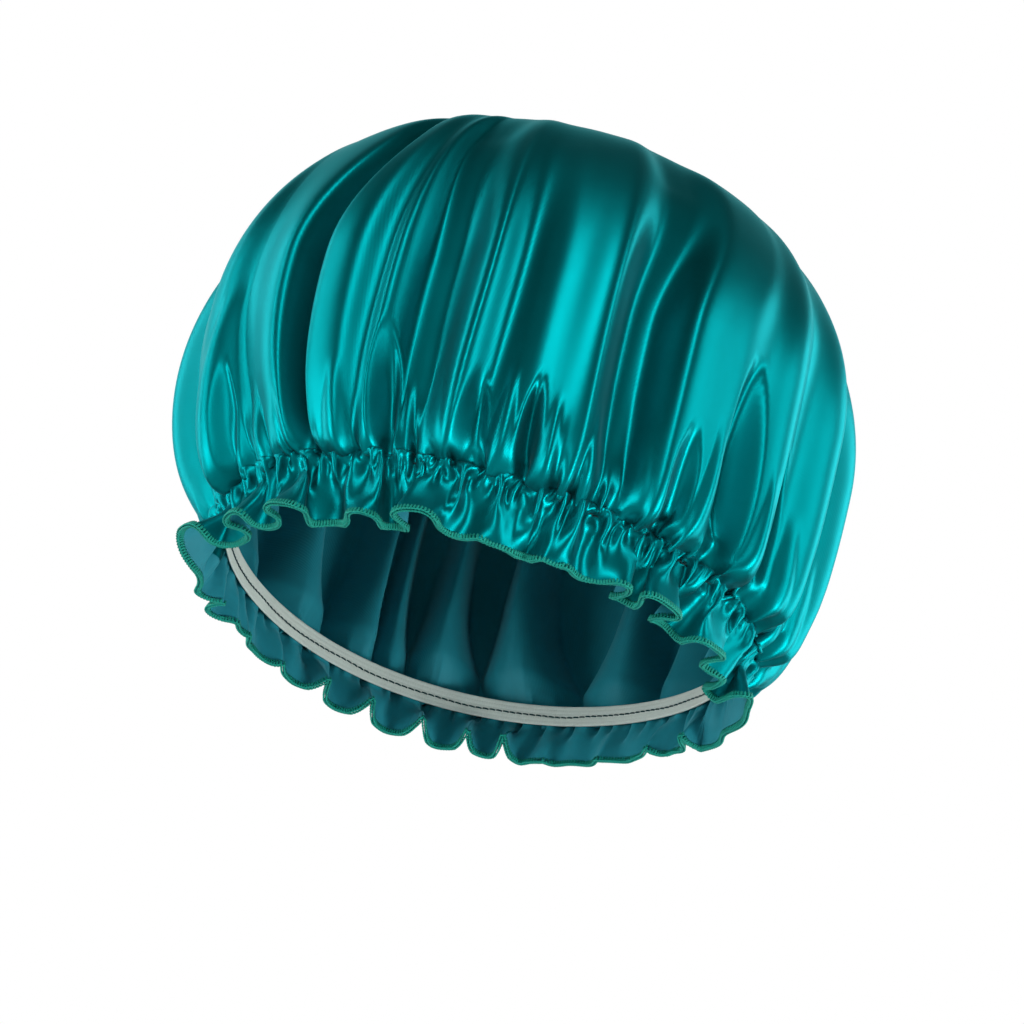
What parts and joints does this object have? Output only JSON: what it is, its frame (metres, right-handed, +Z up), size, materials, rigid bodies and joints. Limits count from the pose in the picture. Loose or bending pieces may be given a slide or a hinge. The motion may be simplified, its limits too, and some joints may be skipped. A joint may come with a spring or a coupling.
{
  "type": "hair bonnet",
  "caption": "Round gathered satin hair bonnet: a full pleated crown above a narrow elastic band, with a ruffled frill and an overlocked hem below it.",
  "frame": {"origin": "centre of the bounding box's underside, on the plane that the hem stands on", "axes": "+Z up through the crown, +X to the right in the picture, -Y towards the picture's camera"},
  "size_m": [0.2479, 0.2357, 0.1907],
  "materials": {
    "satin": "polyester satin, glossy face with long soft highlights, matt blue-teal back, fine diagonal twill",
    "elastic": "matt braided elastic, pale grey, fine cross ribs and lengthwise lines",
    "thread": "dark teal sewing thread",
    "overlock": "teal-green overlock thread, matt, looped over the edge"
  },
  "bodies": {
    "root": {"satin_crown": "satin", "satin_frill": "satin", "elastic_band": "elastic", "needle_thread": "thread", "bobbin_thread": "thread", "lap_zigzag_thread": "thread", "overlock_edge": "overlock"}
  },
  "joints": []
}
